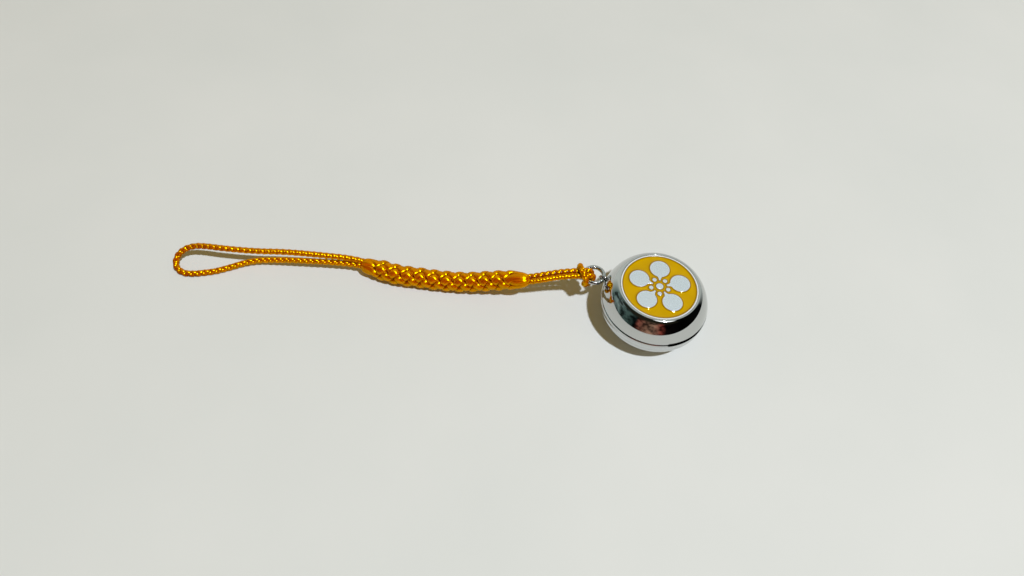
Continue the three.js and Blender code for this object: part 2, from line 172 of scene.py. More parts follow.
# %% [markdown]
# ## A smooth line through chosen points
# A cord follows given points. A Bezier curve could run through them, but the braid needs evenly
# spaced places and a steady sideways direction at each, so both are worked out here. The line is a
# centripetal Catmull-Rom spline, which passes through its points without overshooting.


# %% Lines and their directions
STEPS_TO_NEXT_POINT = 24


def smooth_line(points, spacing):
    """Evenly spaced places on a centripetal Catmull-Rom spline through the points."""
    points = np.array(points, dtype=float)
    ends = 2 * points[[0, -1]] - points[[1, -2]]
    points = np.vstack([ends[0], points, ends[1]])
    knots = np.append(0, np.cumsum(np.linalg.norm(np.diff(points, axis=0), axis=1) ** 0.5))
    places = []
    for i in range(1, len(points) - 2):
        t0, t1, t2, t3 = knots[i - 1 : i + 3]
        p0, p1, p2, p3 = points[i - 1 : i + 3]
        t = np.linspace(t1, t2, STEPS_TO_NEXT_POINT, endpoint=False)[:, None]
        a1 = ((t1 - t) * p0 + (t - t0) * p1) / (t1 - t0)
        a2 = ((t2 - t) * p1 + (t - t1) * p2) / (t2 - t1)
        a3 = ((t3 - t) * p2 + (t - t2) * p3) / (t3 - t2)
        b1 = ((t2 - t) * a1 + (t - t0) * a2) / (t2 - t0)
        b2 = ((t3 - t) * a2 + (t - t1) * a3) / (t3 - t1)
        places.append(((t2 - t) * b1 + (t - t1) * b2) / (t2 - t1))
    line = np.vstack([*places, points[-2]])
    walked = walk(line)
    even = np.linspace(0, walked[-1], max(2, round(walked[-1] / spacing) + 1))
    return np.stack([np.interp(even, walked, line[:, axis]) for axis in range(3)], axis=1)


def walk(line):
    """How far each place lies along its line."""
    return np.append(0, np.cumsum(np.linalg.norm(np.diff(line, axis=0), axis=1)))


def unit(vectors):
    """Vectors in the same directions, all of length 1."""
    return vectors / np.linalg.norm(vectors, axis=-1, keepdims=True)


def crosswise(line, first_up=(0, 0, 1)):
    """Two crosswise directions at each place, carried along the line without twist."""
    tangents = unit(np.gradient(line, axis=0))
    ups = np.empty_like(line)
    up = np.array(first_up, dtype=float)
    for i, tangent in enumerate(tangents):
        up = unit(up - tangent * (up @ tangent))
        ups[i] = up
    return ups, np.cross(tangents, ups)


def tube_faces(rings, sides, start=0):
    """Faces of a tube made of rings of vertices, with a face over each end."""
    first = start + (np.arange(rings - 1) * sides)[:, None]
    here = first + np.arange(sides)
    beside = first + (np.arange(sides) + 1) % sides
    quads = np.stack([here, beside, beside + sides, here + sides], axis=-1).reshape(-1, 4)
    last = start + (rings - 1) * sides
    return [*quads.tolist(), list(range(start, start + sides)), list(range(last, last + sides))]


# %% [markdown]
# ## Plaiting strands
# The thin cord and the thick braid are both plaits: half of the strands wind one way round a middle
# line, half the other way, and where they meet they pass one over, one under. A bump map could
# suggest that on a tube, but its outline would stay smooth, so each strand is a tube of its own.
# The turning is an angle at every place, and the weave runs from 0, where all strands lie side by
# side, to 1, where they interlace. Sizes across are shares of the plait's own radius. Every place on
# a strand also keeps where it lies when all strands are rolled out flat, side by side, in mm.

# %% Plait
SIDE_BY_SIDE_SHARES = {"centre": 0.68, "width": 0.42, "depth": 0.27, "lift": 0}
THICK_BRAID_SHARES = {"centre": 0.61, "width": 0.37, "depth": 0.22, "lift": 0.17}
THIN_CORD_SHARES = {"centre": 0.56, "width": 0.6, "depth": 0.36, "lift": 0.08}
FLATNESS = 2.0
FLAT_STRANDS_APART_MM = 7


def plait(line, radius, turning, weave, per_way, points, woven, start_degrees):
    """Strands interlaced one over, one under: their vertices, faces and flat places in mm."""
    ups, sides = crosswise(line)
    radius, turning, weave = (np.broadcast_to(v, len(line))[:, None] for v in (radius, turning, weave))
    size = {key: radius * (SIDE_BY_SIDE_SHARES[key] * (1 - weave) + woven[key] * weave) for key in woven}
    section = np.linspace(0, 2 * np.pi, points, endpoint=False)
    vertices, faces, flat_places = [], [], []
    for way in (1, -1):
        lift = way * np.tanh(FLATNESS * np.cos(per_way * turning)) / math.tanh(FLATNESS) * weave
        for strand in range(per_way):
            angle = way * turning + 2 * np.pi * strand / per_way + math.radians(start_degrees)
            outward = np.cos(angle) * ups + np.sin(angle) * sides
            centre = line + outward * (size["centre"] + size["lift"] * lift)
            along = unit(np.gradient(centre, axis=0))
            across = unit(np.cross(along, outward))
            outward = np.cross(across, along)
            width = size["width"] * np.cos(section)
            depth = size["depth"] * np.sin(section)
            rings = centre[:, None] + across[:, None] * width[:, :, None]
            rings = rings + outward[:, None] * depth[:, :, None]
            faces += tube_faces(len(line), points, len(line) * points * len(vertices))
            vertices.append(rings.reshape(-1, 3))
            strand_number = strand + per_way * (way > 0)
            beside = width / MM + FLAT_STRANDS_APART_MM * strand_number
            walked = np.broadcast_to(walk(centre)[:, None] / MM, beside.shape)
            flat_places.append(np.stack([beside, walked], axis=-1).reshape(-1, 2))
    return np.vstack(vertices), faces, np.vstack(flat_places)


# %% [markdown]
# ## The silk
# The strap is rayon, an artificial silk: fine shining filaments laid side by side and dyed golden
# yellow. Light that enters a filament leaves it again tinted, so the shine is yellow. A strong tinted
# specular gives that, and because a bundle of filaments scatters light across itself, the shine is
# anisotropic: drawn out across each strand. The deep red brown in the gaps between strands is painted
# shade: an ambient occlusion node tells how closed in a place is, and the colour is darkened there.
# The filaments are far too fine to show, so their lines are drawn about ten times too coarse. Rayon's
# own IOR is about 1.5. It is set well above that, because a bundle of filaments throws back more
# light than one smooth surface does.

# %% Silk material
FILAMENT_MM, CHANGES_ALONG_PER_MM = 0.15, 0.35
GAP_DEPTH_MM, RIDGE_MM = 0.6, 0.03
silk, silk_tree, silk_bsdf = new_material(
    "dyed rayon silk",
    Roughness=0.3,
    IOR=2.4,
    Specular_Tint=linear("#ffe000"),
    Specular_IOR_Level=1.0,
    Anisotropic=0.8,
)
strand_place = add(silk_tree, "ShaderNodeUVMap", {"uv_map": "flat_place"})
drawn_out = add(
    silk_tree,
    "ShaderNodeMapping",
    {"Scale": (1 / FILAMENT_MM, CHANGES_ALONG_PER_MM, 1)},
    {"Vector": strand_place},
)
filaments = add(silk_tree, "ShaderNodeTexNoise", {"Scale": 1.0, "Detail": 3.0}, {"Vector": drawn_out})
dye_stops = [(0.36, "#961800"), (0.64, "#dc5800")]
dye = add(silk_tree, "ShaderNodeValToRGB", {"stops": dye_stops}, {"Fac": filaments})
openness = add(
    silk_tree,
    "ShaderNodeAmbientOcclusion",
    {"samples": 8, "only_local": True, "Distance": GAP_DEPTH_MM * MM},
)
silk_unshaded_share = add(silk_tree, "ShaderNodeMapRange", {"From Min": 0.35}, {"Value": openness.outputs["AO"]})
# painted shade: where ambient occlusion finds the strands closed in, the dye is mixed towards a deep red
# brown
dyed = add(
    silk_tree,
    "ShaderNodeMix",
    {"data_type": "RGBA", MIX_FROM: linear("#780800")},
    {MIX_SHARE: silk_unshaded_share, MIX_TO: dye},
)
ridges = add(
    silk_tree, "ShaderNodeBump", {"Strength": 0.9, "Distance": RIDGE_MM * MM}, {"Height": filaments}
)
across_strand = add(silk_tree, "ShaderNodeTangent", {"direction_type": "UV_MAP", "uv_map": "flat_place"})
link(silk_bsdf, {"Base Color": dyed.outputs[MIXED], "Normal": ridges, "Tangent": across_strand})

# %% [markdown]
# ## The thin cord's loop
# The cord is 1 mm thick and is seen from end to end, so its length is what the route measures. It
# leaves the braid, rises a little, turns back at its far end and lies down on the table. Its points
# are the same as those of its solid in the frame, and it runs on a little way inside the braid.

# %% Strap loop
CORD_LAY = 2.17 * MM
CORD_SPACING = CORD_LAY / 28
CORD_STRANDS_PER_WAY, CORD_SECTION_POINTS = 2, 10
CORD_START_DEGREES = 35
LOOSE_PLAIT_RADIUS, TIGHT_PLAIT_RADIUS = 0.57 * MM, 0.53 * MM
LOOP_POINTS = [
    (-50.37, -13.55, 2.6), (-51.92, -13.98, 2.75), (-53.41, -14.55, 2.95), (-55.41, -15.44, 3.2),
    (-58.13, -16.61, 3.45), (-61.05, -17.87, 3.65), (-63.74, -19.08, 3.75), (-66.67, -20.48, 3.8),
    (-69.89, -21.79, 3.8), (-73.26, -22.98, 3.75), (-75.86, -23.75, 3.6), (-77.7, -24.4, 3.3),
    (-79.1, -25.3, 2.8), (-79.9, -26.3, 2.15), (-80.1, -27.2, 1.5), (-79.74, -28.07, 1),
    (-78.94, -28.57, 0.7), (-77.64, -28.67, 0.55), (-76.25, -28.17, 0.54), (-74.84, -27.28, 0.54),
    (-73.12, -26, 0.55), (-71.23, -24.16, 0.64), (-69.34, -22.27, 0.85), (-67.1, -20.78, 1.2),
    (-64.11, -19.5, 1.6), (-61.35, -18.38, 1.85), (-58.31, -17.13, 1.95), (-55.55, -15.96, 1.95),
    (-53.39, -15.09, 1.9), (-51.95, -14.55, 1.85), (-50.56, -14.18, 1.85),
]
LOOP_START_IN_BRAID = (-47.8, -13.25, 2.3)
LOOP_END_IN_BRAID = (-47.8, -13.85, 1.9)


def thin_cord(name, points, plait_radius, replaces):
    """A plaited thin cord along points."""
    line = smooth_line(points, CORD_SPACING)
    turning = 2 * np.pi * walk(line) / CORD_LAY
    strands = plait(
        line,
        plait_radius,
        turning,
        1.0,
        CORD_STRANDS_PER_WAY,
        CORD_SECTION_POINTS,
        THIN_CORD_SHARES,
        CORD_START_DEGREES,
    )
    piece = make_piece(name, strands, silk, "strap", replaces)


loop_route = np.array([LOOP_START_IN_BRAID, *LOOP_POINTS, LOOP_END_IN_BRAID]) * MM
thin_cord("thin_cord_loop", loop_route, LOOSE_PLAIT_RADIUS, ["strap_loop"])

# %% [markdown]
# ## The doubled cord and its hitch on the ring
# The same thin cord comes out of the braid's other end, doubled. It is fixed to the jump ring with a
# cow hitch: both legs pass over the ring's wire, come back under it, open into two ears and cross on
# top of themselves. It is one cord, so it is one plait along one route: far leg, hitch, near leg.
# The hitch's points are given along the strap, across it and up, from its place on the ring.

# %% Hitched cord
RING_CENTRE = Vector((-11.2, 0, 6.103)) * MM
RING_RADIUS, HITCH_ANGLE, HITCH_HEADING = 1.7 * MM, math.radians(36), math.radians(33)
HITCH_PLACE = RING_CENTRE - Vector((math.cos(HITCH_ANGLE), math.sin(HITCH_ANGLE), 0)) * RING_RADIUS
HITCH_AXES = np.array(
    [
        (-math.cos(HITCH_HEADING), -math.sin(HITCH_HEADING), 0),
        (math.sin(HITCH_HEADING), -math.cos(HITCH_HEADING), 0),
        (0, 0, 1),
    ]
)
FAR_HITCH_POINTS = [
    (3.9, -0.96, 0.58), (2.8, -0.84, 0.73), (1.8, -0.74, 0.82), (0.9, -0.62, 0.87), (0, -0.55, 0.9),
    (-0.75, -0.62, 0.7), (-1.28, -0.7, 0.15), (-1.15, -0.66, -0.55), (-0.55, -0.66, -0.98),
    (0.2, -0.95, -0.95), (0.65, -1.4, -0.5), (0.68, -1.72, 0.1), (0.62, -1.68, 0.65),
    (0.72, -1.4, 1.25), (0.82, -0.75, 1.78), (0.77, -0.2, 1.93),
]
NEAR_HITCH_POINTS = [
    (3.9, 0.1, 0.58), (2.8, 0.22, 0.73), (1.8, 0.33, 0.82), (0.9, 0.45, 0.87), (0.1, 0.52, 0.9),
    (-0.65, 0.5, 0.76), (-1.3, 0.36, 0.3), (-1.45, 0.3, -0.3), (-1.05, 0.45, -0.85), (-0.35, 0.95, -0.98),
    (0.1, 1.15, -0.78), (0.45, 1.5, 0.05), (0.3, 1.72, 0.5), (0.25, 1.62, 0.95), (0.38, 1.48, 1.3),
    (0.54, 0.98, 1.72), (0.7, 0.35, 1.9),
]
LEG_MIDDLE_POINTS = [
    (-16.5, -2.98, 6.6), (-18, -3.8, 6.25), (-19.5, -4.64, 5.85), (-20.9, -5.3, 5.4),
]
LEG_SPACING = 1.06 * MM
LEG_END_IN_BRAID = np.array((-22.4, -5.9, 4.95)) * MM
LEG_END_SPACING_SHARE = 0.7

leg_middle = np.array(LEG_MIDDLE_POINTS) * MM
aside = unit(np.cross(leg_middle[-1] - leg_middle[0], (0, 0, 1))) * LEG_SPACING / 2
hitch_far = np.array(HITCH_PLACE) + np.array(FAR_HITCH_POINTS) * MM @ HITCH_AXES
hitch_near = np.array(HITCH_PLACE) + np.array(NEAR_HITCH_POINTS) * MM @ HITCH_AXES
hitched_route = [
    LEG_END_IN_BRAID + aside * LEG_END_SPACING_SHARE,
    *(leg_middle[::-1] + aside),
    *hitch_far,
    *hitch_near[::-1],
    *(leg_middle - aside),
    LEG_END_IN_BRAID - aside * LEG_END_SPACING_SHARE,
]
hitch_nodes = ["ring_hitch", "cord_leg_far", "cord_leg_near"]
thin_cord("hitched_cord", hitched_route, TIGHT_PLAIT_RADIUS, hitch_nodes)

# %% [markdown]
# ## The thick braid
# Eight strands of parallel silk are plaited round the doubled cord. At both ends the strands lie
# side by side without crossing and draw in on the cords, so their ends shine like satin. The turning
# therefore starts and stops slowly, and it starts and stops half way between two crossings, where
# all eight strands lie evenly round the cord.

# %% Braid
BRAID_RADIUS = 1.86 * MM
BRAID_LAY = 9.36 * MM
BRAID_STRANDS_PER_WAY, BRAID_SECTION_POINTS = 4, 18
BRAID_SPACING = 0.16 * MM
BRAID_START_DEGREES = 12
BRAID_POINTS = [
    (-21.1, -5.4, 5.3), (-22.72, -5.95, 4.7), (-24.42, -6.3, 4.1), (-26.52, -6.99, 3.45),
    (-28.76, -7.83, 2.85), (-31.06, -8.72, 2.3), (-33.17, -9.52, 2.02), (-35.57, -10.37, 1.92),
    (-37.78, -11.11, 1.9), (-39.98, -11.78, 1.9), (-42.28, -12.55, 1.93), (-44.22, -13.02, 1.97),
    (-46.2, -13.3, 2.02), (-48.1, -13.6, 2.1), (-50, -13.9, 2.2),
]
BRAID_RADIUS_SHARES = [
    (0, 0.3), (0.012, 0.55), (0.03, 0.72), (0.05, 0.83), (0.08, 0.93), (0.12, 0.98),
    (0.84, 1), (0.88, 0.99), (0.92, 0.93), (0.95, 0.86), (0.975, 0.76), (0.99, 0.6), (1, 0.35),
]
WEAVE_SHARES = [(0, 0), (0.04, 0), (0.15, 1), (0.89, 1), (0.97, 0), (1, 0)]

braid_line = smooth_line(np.array(BRAID_POINTS) * MM, BRAID_SPACING)
along_share = np.linspace(0, 1, len(braid_line))
weave = np.interp(along_share, *zip(*WEAVE_SHARES))
weave = weave * weave * (3 - 2 * weave)
braid_length = float(walk(braid_line)[-1])
crossings = round(2 * BRAID_STRANDS_PER_WAY * braid_length * weave.mean() / BRAID_LAY)
braid_turning = (np.cumsum(weave) / weave.sum() * crossings + 0.5) * np.pi / BRAID_STRANDS_PER_WAY
braid_radius = BRAID_RADIUS * np.interp(along_share, *zip(*BRAID_RADIUS_SHARES))
braid_strands = plait(
    braid_line,
    braid_radius,
    braid_turning,
    weave,
    BRAID_STRANDS_PER_WAY,
    BRAID_SECTION_POINTS,
    THICK_BRAID_SHARES,
    BRAID_START_DEGREES,
)
braid = make_piece("braid_strands", braid_strands, silk, "strap", ["braid"])
print("the braid is", round(braid_length / MM, 1), "mm long")
print("a line along it meets", crossings, "crossings")

# %% [markdown]
# ## Turned shapes, wires and cuts
# Both shells are round, so each is a profile turned about the bell's axis. A Screw modifier could
# turn it, but here the rings are made directly, with one vertex where the profile meets the axis, so
# that the mesh is closed. A wire is a tube along a line. Openings are cut with exact Booleans.

# %% Helpers for turned, swept and cut shapes
SMOOTH_FACETS, WIRE_SIDES, WIRE_FIRST_UP = 240, 24, (0, 1, 0.01)


def arc(radius, height, size, start, end, steps):
    """Points on an arc of a profile, with angles in degrees from the radius towards the height."""
    angles = np.radians(np.linspace(start, end, steps + 1))
    return [(radius + size * math.cos(a), height + size * math.sin(a)) for a in angles]


def turned(profile):
    """A closed solid turned about Z, from a profile in mm that starts and ends on the axis."""
    angles = np.linspace(0, 2 * np.pi, SMOOTH_FACETS, endpoint=False)
    circle = np.stack([np.cos(angles), np.sin(angles)], axis=-1)
    rings = [
        np.column_stack([circle * radius, np.full(SMOOTH_FACETS, height)])
        for radius, height in profile[1:-1]
    ]
    vertices = np.vstack([*rings, (0, 0, profile[0][1]), (0, 0, profile[-1][1])]) * MM
    *walls, first_end, last_end = tube_faces(len(rings), SMOOTH_FACETS)
    first, last = len(vertices) - 2, len(vertices) - 1
    fans = [
        (end[i - 1], end[i], tip)
        for end, tip in ((first_end, first), (last_end, last))
        for i in range(len(end))
    ]
    return vertices, [*walls, *fans]


def swept(line, radius):
    """A round wire along a line, with flat ends."""
    ups, sideways = crosswise(line, WIRE_FIRST_UP)
    angles = np.linspace(0, 2 * np.pi, WIRE_SIDES, endpoint=False)[:, None]
    rings = line[:, None] + radius * (ups[:, None] * np.cos(angles) + sideways[:, None] * np.sin(angles))
    return rings.reshape(-1, 3), tube_faces(len(line), WIRE_SIDES)


def cut(vertices, faces, cutters):
    """What is left of a solid after the cutters are taken away."""
    solid = plain_object("uncut", vertices, faces)
    for cutter in cutters:
        modifier = solid.modifiers.new("cut", "BOOLEAN")
        modifier.object, modifier.operation, modifier.solver = cutter, "DIFFERENCE", "EXACT"
    result = bpy.data.meshes.new_from_object(solid.evaluated_get(bpy.context.evaluated_depsgraph_get()))
    left = [v.co.copy() for v in result.vertices], [tuple(p.vertices) for p in result.polygons]
    bpy.data.objects.remove(solid)
    return left


# %% [markdown]
# ## Chrome
# The shells are brass sheet, pressed, polished and plated with nickel and a thin layer of bright
# chrome. It is a plain mirror, so what it shows is the table and the room. A little unevenness from
# the pressing bends the reflections, and fingers leave faint dull places.

# %% Chrome material
SMUDGE_MM, PRESSING_MM, PRESSING_DEPTH_MM = 6, 3, 0.1
chrome, chrome_tree, chrome_bsdf = new_material(
    "bright chrome plate", Base_Color=linear("#c6c8c7"), Metallic=1.0
)
chrome_place = add(chrome_tree, "ShaderNodeTexCoord").outputs["Object"]
smudge_size = {"Scale": 1 / (SMUDGE_MM * MM), "Detail": 5.0}
smudges = add(chrome_tree, "ShaderNodeTexNoise", smudge_size, {"Vector": chrome_place})
dulled = add(
    chrome_tree,
    "ShaderNodeMapRange",
    {"From Min": 0.4, "From Max": 0.75, "To Min": 0.03, "To Max": 0.1},
    {"Value": smudges},
)
pressing_size = {"Scale": 1 / (PRESSING_MM * MM), "Detail": 1.0}
pressing = add(chrome_tree, "ShaderNodeTexNoise", pressing_size, {"Vector": chrome_place})
pressed = {"Strength": 0.06, "Distance": PRESSING_DEPTH_MM * MM}
uneven = add(chrome_tree, "ShaderNodeBump", pressed, {"Height": pressing})
link(chrome_bsdf, {"Roughness": dulled, "Normal": uneven})

# %% [markdown]
# ## The two shells
# The back shell is a shallow dish: a wide crown, a tight knuckle and a thick lip, with the small flat
# that the bell stands on. The face shell leans in from the lip to a narrow rim round the medal's
# seat. Both follow the sizes of their solids in the frame, with many more steps, because a mirror
# shows every facet.

# %% Back shell's profile
BELL_RADIUS, SHEET, CROWN_RADIUS, KNUCKLE_RADIUS, FLAT_RADIUS = 9.2, 0.4, 14.0, 2.2, 1.5
DOME_WALL, LIP_HEIGHT, LIP_PROUD, LIP_THICKNESS, LIP_ROLL = 0.5, 1.0, 0.1, 0.3, 0.52
SKIRT_DEPTH, CLEARANCE, SEAM_GAP, FACE_HEIGHT = 0.9, 0.05, 0.14, 4.096
BULGE_SHARE, FACE_RIM_RADIUS, MEDAL_RADIUS, RECESS_DEPTH = 1.35, 6.78, 6.55, 0.55
EDGE_ROUND, SHOULDER_ROUND, LIP_POINTS = 0.05, 0.12, 25

dome_radius = BELL_RADIUS - LIP_PROUD
knuckle_centre = dome_radius - KNUCKLE_RADIUS
crown_height = math.sqrt(CROWN_RADIUS**2 - FLAT_RADIUS**2)
knuckle_turn = math.degrees(math.asin(knuckle_centre / (CROWN_RADIUS - KNUCKLE_RADIUS))) - 90
knuckle_height = crown_height + (CROWN_RADIUS - KNUCKLE_RADIUS) * math.sin(math.radians(knuckle_turn))
lip_bottom = knuckle_height + DOME_WALL
seam = lip_bottom + LIP_HEIGHT
widest = lip_bottom + LIP_HEIGHT / 2
face_top = seam + FACE_HEIGHT
skirt_radius = BELL_RADIUS - LIP_THICKNESS - CLEARANCE
skirt_bottom = seam - SKIRT_DEPTH
ledge = skirt_bottom - CLEARANCE
lip_inside = skirt_radius + CLEARANCE
flat_turn = math.degrees(math.asin(FLAT_RADIUS / CROWN_RADIUS)) - 90
roll_start, roll_end = math.acos(1 - LIP_PROUD / LIP_THICKNESS), math.asin(LIP_HEIGHT / 2 / LIP_ROLL)
rolled_lip = [
    (BELL_RADIUS - LIP_THICKNESS * (1 - math.cos(a)), widest + LIP_ROLL * math.sin(a))
    for a in np.linspace(-roll_start, roll_end, LIP_POINTS)
]
back_profile = [
    (0, 0),
    *arc(0, crown_height, CROWN_RADIUS, flat_turn, knuckle_turn, steps=24),
    *arc(knuckle_centre, knuckle_height, KNUCKLE_RADIUS, knuckle_turn, 0, steps=28)[1:],
    *rolled_lip,
    (lip_inside, seam),
    (lip_inside, ledge),
    (dome_radius - SHEET, ledge),
    *arc(knuckle_centre, knuckle_height, KNUCKLE_RADIUS - SHEET, 0, knuckle_turn, steps=12),
    *arc(0, crown_height, CROWN_RADIUS - SHEET, knuckle_turn, -90, steps=8)[1:-1],
    (0, crown_height - CROWN_RADIUS + SHEET),
]
print("the seam is", round(seam, 3), "mm up and the face", round(face_top, 3), "mm up")

# %% [markdown]
# The face shell's flank is a power curve, a little flatter than an ellipse. Its inside is the same
# curve, moved square to itself into the sheet, and it ends where the seat's floor begins.

# %% Face shell's profile
FLANK_STEPS, SHORT_OF_TOP = 44, 0.02


def flank(inset):
    """The face shell's flank, a power curve, moved into the sheet by an inset."""
    height, width = face_top - widest, BELL_RADIUS - FACE_RIM_RADIUS
    first = math.asin(((seam + SEAM_GAP - widest) / height) ** (1 / BULGE_SHARE))
    points = []
    for angle in np.linspace(first, math.pi / 2 - SHORT_OF_TOP, FLANK_STEPS + 1):
        cosine, sine = math.cos(angle), math.sin(angle)
        outward = height * sine ** (BULGE_SHARE - 1) * cosine
        lifted = width * cosine ** (BULGE_SHARE - 1) * sine
        inset_share = inset / math.hypot(outward, lifted)
        radius = FACE_RIM_RADIUS + width * cosine**BULGE_SHARE - inset_share * outward
        points.append((radius, widest + height * sine**BULGE_SHARE - inset_share * lifted))
    return points


shoulder_height = seam + SEAM_GAP
underside = face_top - RECESS_DEPTH - SHEET
recess_radius = MEDAL_RADIUS + CLEARANCE
outer_flank = flank(0)
shoulder_middle = outer_flank[1][0] - SHOULDER_ROUND
inner_flank = [p for p in flank(SHEET)[::-1] if shoulder_height < p[1] < underside]
face_profile = [
    (0, underside),
    (inner_flank[0][0], underside),
    *inner_flank,
    (skirt_radius - SHEET, shoulder_height),
    (skirt_radius - SHEET, skirt_bottom),
    (skirt_radius, skirt_bottom),
    (skirt_radius, shoulder_height),
    *arc(shoulder_middle, shoulder_height + SHOULDER_ROUND, SHOULDER_ROUND, -90, 0, steps=6),
    *outer_flank[2:],
    *arc(recess_radius + EDGE_ROUND, face_top - EDGE_ROUND, EDGE_ROUND, 90, 180, steps=4),
    (recess_radius, face_top - RECESS_DEPTH),
    (0, face_top - RECESS_DEPTH),
]
print(len(back_profile), "and", len(face_profile), "points in the two profiles")

# %% [markdown]
# ## The sound slot and the eye's notch
# The slot runs round a third of the seam, half in each shell, and the eye's legs pass through a
# small notch on the other side. The slot's cutter is a curved bar, made column by column round the
# axis, each as high as the slot is there, because a flat face can't follow the curve.

# %% Cut the shells
SLOT_HEIGHT, SLOT_HALF_DEGREES = 0.7, 56.0
EYE_WIRE, EYE_HEIGHT, EYE_LOOP_RADIUS, EYE_OPEN_DEGREES = 0.36, seam + 0.256, 0.66, 58.0
NOTCH_CLEARANCE = 0.1
CUT_INSIDE, CUT_OUTSIDE = 7.8, 9.7
SLOT_COLUMNS, SLOT_END_TURNS = 75, (8, 20, 35, 50, 65, 80, 90)

end_degrees = math.degrees(SLOT_HEIGHT / 2 / BELL_RADIUS)
round_end = [(end_degrees * math.cos(a), math.sin(a)) for a in np.radians(SLOT_END_TURNS)]
columns = [(SLOT_HALF_DEGREES + x, share) for x, share in round_end]
columns += [(x, 1.0) for x in np.linspace(SLOT_HALF_DEGREES, -SLOT_HALF_DEGREES, SLOT_COLUMNS)[1:-1]]
columns += [(-SLOT_HALF_DEGREES - x, share) for x, share in round_end[::-1]]
slot_rings = []
for degrees, share in columns:
    outward = np.array((math.cos(math.radians(degrees)), math.sin(math.radians(degrees)), 0))
    half_height = np.array((0, 0, share * SLOT_HEIGHT / 2))
    middle = np.array((0, 0, seam))
    slot_rings += [
        middle + outward * CUT_INSIDE - half_height,
        middle + outward * CUT_OUTSIDE - half_height,
        middle + outward * CUT_OUTSIDE + half_height,
        middle + outward * CUT_INSIDE + half_height,
    ]
slot_cutter = plain_object("slot_cutter", np.array(slot_rings) * MM, tube_faces(len(columns), 4))

notch_half_width = EYE_WIRE / 2 + NOTCH_CLEARANCE
notch_half_height = EYE_LOOP_RADIUS * math.sin(math.radians(EYE_OPEN_DEGREES)) + notch_half_width
notch_corners = [
    (-radius, side * notch_half_width, EYE_HEIGHT + up * notch_half_height)
    for radius in (CUT_INSIDE, CUT_OUTSIDE)
    for side, up in ((-1, -1), (1, -1), (1, 1), (-1, 1))
]
notch_cutter = plain_object("notch_cutter", np.array(notch_corners) * MM, tube_faces(2, 4))

shells = {"back_shell": back_profile, "face_shell": face_profile}
for node, profile in shells.items():
    shell = cut(*turned(profile), [slot_cutter, notch_cutter])
    make_piece("polished_" + node, shell, chrome, "bell", [node])
for cutter in (slot_cutter, notch_cutter):
    bpy.data.objects.remove(cutter)

# %% [markdown]
# ## The medal's drawing
# The medal is struck in a die: a rim, five petals that each run in to the middle on a thin stem,
# five small dots between them and a dot in the middle. Seen from above it is a flat drawing of
# outlines, and the raised metal and the enamel between it share them. So the drawing is divided into
# triangles once, with rings of points at set distances on both sides of each outline, and both
# pieces lift those points to their own heights. Sizes are shares of the enamel's radius.

# %% Medal outlines
RIM_WIDTH = 0.25
ENAMEL_RADIUS = MEDAL_RADIUS - RIM_WIDTH
PETAL_COUNT = 5
PETAL_SHARES = {
    "radius": 0.267,
    "centre": 0.575,
    "stem_tip": 0.194,
    "tip_width": 0.048,
    "root_width": 0.136,
}
MIDDLE_DOT_SHARE, SMALL_DOT_SHARE, SMALL_DOT_CENTRE_SHARE = 0.098, 0.06, 0.238
OUTLINE_SPACING, LEAST_DOT_POINTS, STEM_POINTS = 0.09, 24, 18

petal = {key: share * ENAMEL_RADIUS for key, share in PETAL_SHARES.items()}


def turned_flat(points, angle):
    """Flat points turned about the middle."""
    cosine, sine = math.cos(angle), math.sin(angle)
    return np.array(points) @ np.array([(cosine, sine), (-sine, cosine)])


def dot_outline(x, radius):
    """A round outline with its middle on the X axis."""
    count = max(LEAST_DOT_POINTS, round(2 * math.pi * radius / OUTLINE_SPACING))
    angles = np.linspace(0, 2 * np.pi, count, endpoint=False)
    return np.column_stack([x + radius * np.cos(angles), radius * np.sin(angles)])


def petal_outline():
    """A round lobe with a tapered stem towards the middle, pointing along +X."""
    tip_half, root_half = petal["tip_width"] / 2, petal["root_width"] / 2
    meet = math.pi - math.asin(root_half / petal["radius"])
    root = petal["centre"] + petal["radius"] * math.cos(meet)
    waist = (root + petal["stem_tip"]) / 2
    lobe = [
        (petal["centre"] + petal["radius"] * math.cos(a), petal["radius"] * math.sin(a))
        for a in np.linspace(-meet, meet, round(2 * meet * petal["radius"] / OUTLINE_SPACING))
    ]
    stem_curve = [(petal["stem_tip"], -tip_half), (waist, -tip_half), (root, -root_half)]
    start, bend, end = np.array(stem_curve)
    t = np.linspace(0, 1, STEM_POINTS, endpoint=False)[:, None]
    stem = start * (1 - t) ** 2 + bend * 2 * t * (1 - t) + end * t**2
    return np.vstack([stem, lobe, (stem * (1, -1))[::-1][:-1], [(petal["stem_tip"], tip_half)]])


outlines = [dot_outline(0, MIDDLE_DOT_SHARE * ENAMEL_RADIUS)]
for i in range(PETAL_COUNT):
    turn = math.pi + 2 * math.pi * i / PETAL_COUNT
    outlines.append(turned_flat(petal_outline(), turn))
    small_dot = dot_outline(SMALL_DOT_CENTRE_SHARE * ENAMEL_RADIUS, SMALL_DOT_SHARE * ENAMEL_RADIUS)
    outlines.append(turned_flat(small_dot, turn + math.pi / PETAL_COUNT))
rim_outlines = [dot_outline(0, ENAMEL_RADIUS), dot_outline(0, MEDAL_RADIUS)]
print(len(outlines), "raised shapes inside the rim")

# %% [markdown]
# The triangles come from a constrained Delaunay triangulation, which keeps every outline as edges.
# A point of a ring is left out where another outline, or another part of its own, lies nearer.

# %% Triangles of the medal's drawing
METAL_DISTANCES = (0.015, 0.03, 0.05, 0.12)
ENAMEL_DISTANCES = (0.02, 0.05, 0.09, 0.15, 0.23, 0.34, 0.5)
FREE_DISTANCE_SHARE = 0.93
ALL_TRIANGLES, SAME_PLACE = 0, 1e-5

